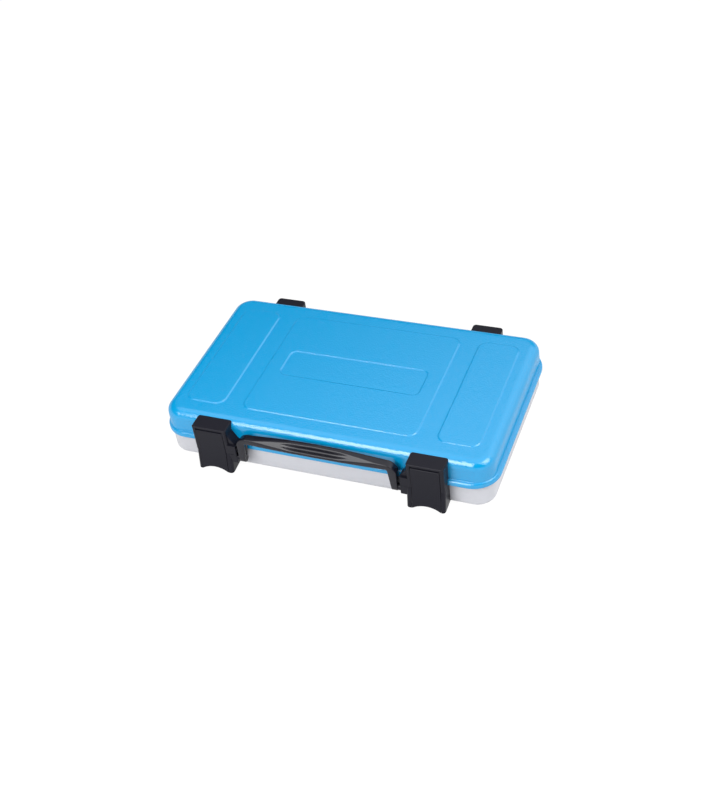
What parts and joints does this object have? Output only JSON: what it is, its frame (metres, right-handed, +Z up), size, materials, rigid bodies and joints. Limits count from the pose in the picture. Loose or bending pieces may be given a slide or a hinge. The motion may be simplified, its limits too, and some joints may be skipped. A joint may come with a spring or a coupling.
{
  "type": "socket set case",
  "caption": "Flat sheet-steel tool case with a hinged pressed lid, snap latches with pull flaps, a folding carrying handle and a moulded socket tray.",
  "frame": {"origin": "middle of the underside of the steel base", "axes": "+X along the case's length, +Y from the latches to the hinges, +Z up through the lid"},
  "size_m": [0.389, 0.2521, 0.0628],
  "materials": {
    "lid_paint": "fine textured sky-blue paint, satin gloss",
    "base_paint": "silver-grey paint, satin",
    "black_plastic": "moulded, fine satin",
    "black_plastic_flap": "moulded, fine satin",
    "handle_plastic": "moulded, satin",
    "tray_plastic": "moulded, fine grain",
    "pad_foam": "closed-cell foam sheet",
    "pin_steel": "zinc plated",
    "pin_black": "blackened steel"
  },
  "bodies": {
    "base": {"base_shell": "base_paint", "tool_tray": "tray_plastic", "latch_base_rivets": "pin_steel", "hinge_base_rivets": "pin_steel", "left_latch_lower_housing": "black_plastic", "right_latch_lower_housing": "black_plastic", "left_handle_pin": "pin_black", "right_handle_pin": "pin_black", "left_hinge_base_leaf": "black_plastic", "right_hinge_base_leaf": "black_plastic", "left_hinge_pin": "pin_steel", "right_hinge_pin": "pin_steel"},
    "lid": {"lid_shell": "lid_paint", "lid_pad": "pad_foam", "latch_lid_rivets": "pin_steel", "hinge_lid_rivets": "pin_steel", "left_latch_upper_housing": "black_plastic", "right_latch_upper_housing": "black_plastic", "left_latch_pin": "pin_steel", "right_latch_pin": "pin_steel", "left_hinge_lid_leaf": "black_plastic", "right_hinge_lid_leaf": "black_plastic"},
    "left_flap": {"left_latch_flap": "black_plastic_flap"},
    "right_flap": {"right_latch_flap": "black_plastic_flap"},
    "handle": {"handle": "handle_plastic"}
  },
  "joints": [
    {"name": "lid_hinge", "type": "hinge", "parent": "base", "child": "lid", "pos_m": [0, 0.1192, 0.0272], "axis": [-1, 0, 0], "range_deg": [0, 105]},
    {"name": "left_latch", "type": "hinge", "parent": "lid", "child": "left_flap", "pos_m": [-0.124, -0.1209, 0.053], "axis": [-1, 0, 0], "range_deg": [0, 95]},
    {"name": "right_latch", "type": "hinge", "parent": "lid", "child": "right_flap", "pos_m": [0.124, -0.1209, 0.053], "axis": [-1, 0, 0], "range_deg": [0, 95]},
    {"name": "handle_pivot", "type": "hinge", "parent": "base", "child": "handle", "pos_m": [0, -0.1205, 0.022], "axis": [1, 0, 0], "range_deg": [0, 100]}
  ]
}
